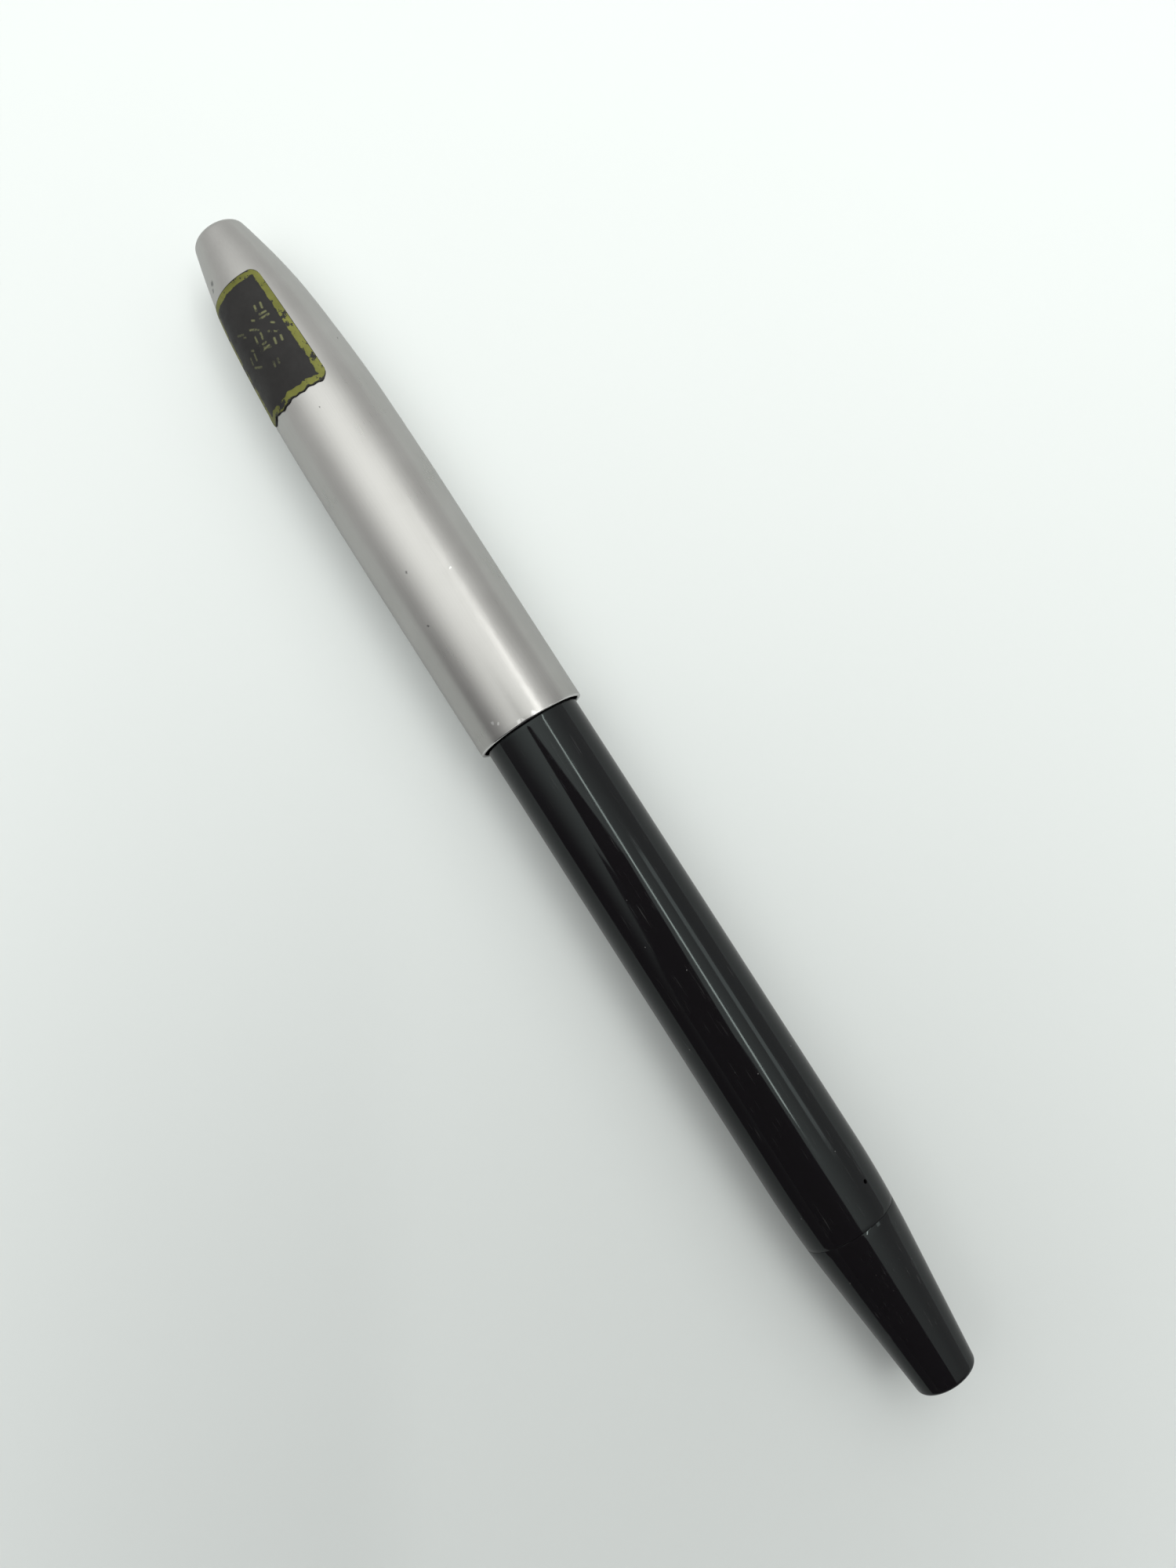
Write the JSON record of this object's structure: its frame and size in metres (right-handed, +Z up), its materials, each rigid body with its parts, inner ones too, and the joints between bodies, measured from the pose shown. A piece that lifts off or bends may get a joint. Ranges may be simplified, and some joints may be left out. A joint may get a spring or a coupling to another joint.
{
  "type": "fountain pen",
  "caption": "Slim capped fountain pen with a satin steel cap, underside pocket clip, black tapering barrel and a pull-out filling plunger at the tail.",
  "frame": {"origin": "on the surface the pen lies on, under the middle of its length and its axis", "axes": "+X along the pen from the tail to the cap's crown, +Y to the side the price label faces, +Z up"},
  "size_m": [0.137, 0.0118, 0.0118],
  "materials": {
    "cap_steel": "satin, brushed along the pen",
    "clip_steel": "satin",
    "spring_steel": "plain",
    "bright_trim": "polished",
    "nib_steel": "polished",
    "black_gloss": "polished black",
    "black_ebonite": "satin black",
    "liner_plastic": "moulded, dark",
    "brass_parts": "turned",
    "tube_metal": "drawn",
    "black_rubber": "soft",
    "label_paper": "printed, worn"
  },
  "bodies": {
    "barrel": {"barrel": "black_gloss", "section": "black_gloss", "clutch_band": "bright_trim", "section_connector": "brass_parts", "feed": "black_ebonite", "nib": "nib_steel", "nib_point": "bright_trim", "front_seal": "black_rubber", "sac_nipple": "black_ebonite", "ink_sac": "black_rubber", "breather_tube": "tube_metal", "sac_protector": "tube_metal", "plunger_o_ring": "black_rubber", "o_ring_retainer": "brass_parts"},
    "cap": {"cap_shell": "cap_steel", "inner_cap": "liner_plastic", "crown_block": "liner_plastic", "clip_spring": "spring_steel", "clutch_ring": "spring_steel", "price_label": "label_paper"},
    "clip": {"clip": "clip_steel"},
    "plunger": {"plunger_tube": "tube_metal", "tube_plug": "brass_parts"},
    "blind_cap": {"blind_cap": "black_gloss", "thrust_washer": "spring_steel", "blind_cap_screw": "brass_parts"}
  },
  "joints": [
    {"name": "cap_pull", "type": "slide", "parent": "barrel", "child": "cap", "axis": [1, 0, 0], "range_m": [0, 0.065]},
    {"name": "clip_lift", "type": "hinge", "parent": "cap", "child": "clip", "pos_m": [0.0588, -0.00325, 0.00262], "axis": [0, -0.7085, 0.7057], "range_deg": [0, 6], "stiffness_Nm_per_rad": 0.5, "springref_deg": -2.86, "deforming": ["clip_spring"]},
    {"name": "plunger_pull", "type": "slide", "parent": "barrel", "child": "plunger", "axis": [-1, 0, 0], "range_m": [0, 0.035]},
    {"name": "blind_cap_turn", "type": "hinge", "parent": "plunger", "child": "blind_cap", "pos_m": [-0.0598, 0, 0.00588], "axis": [-1, 0, 0], "range_deg": [0, 720]}
  ]
}
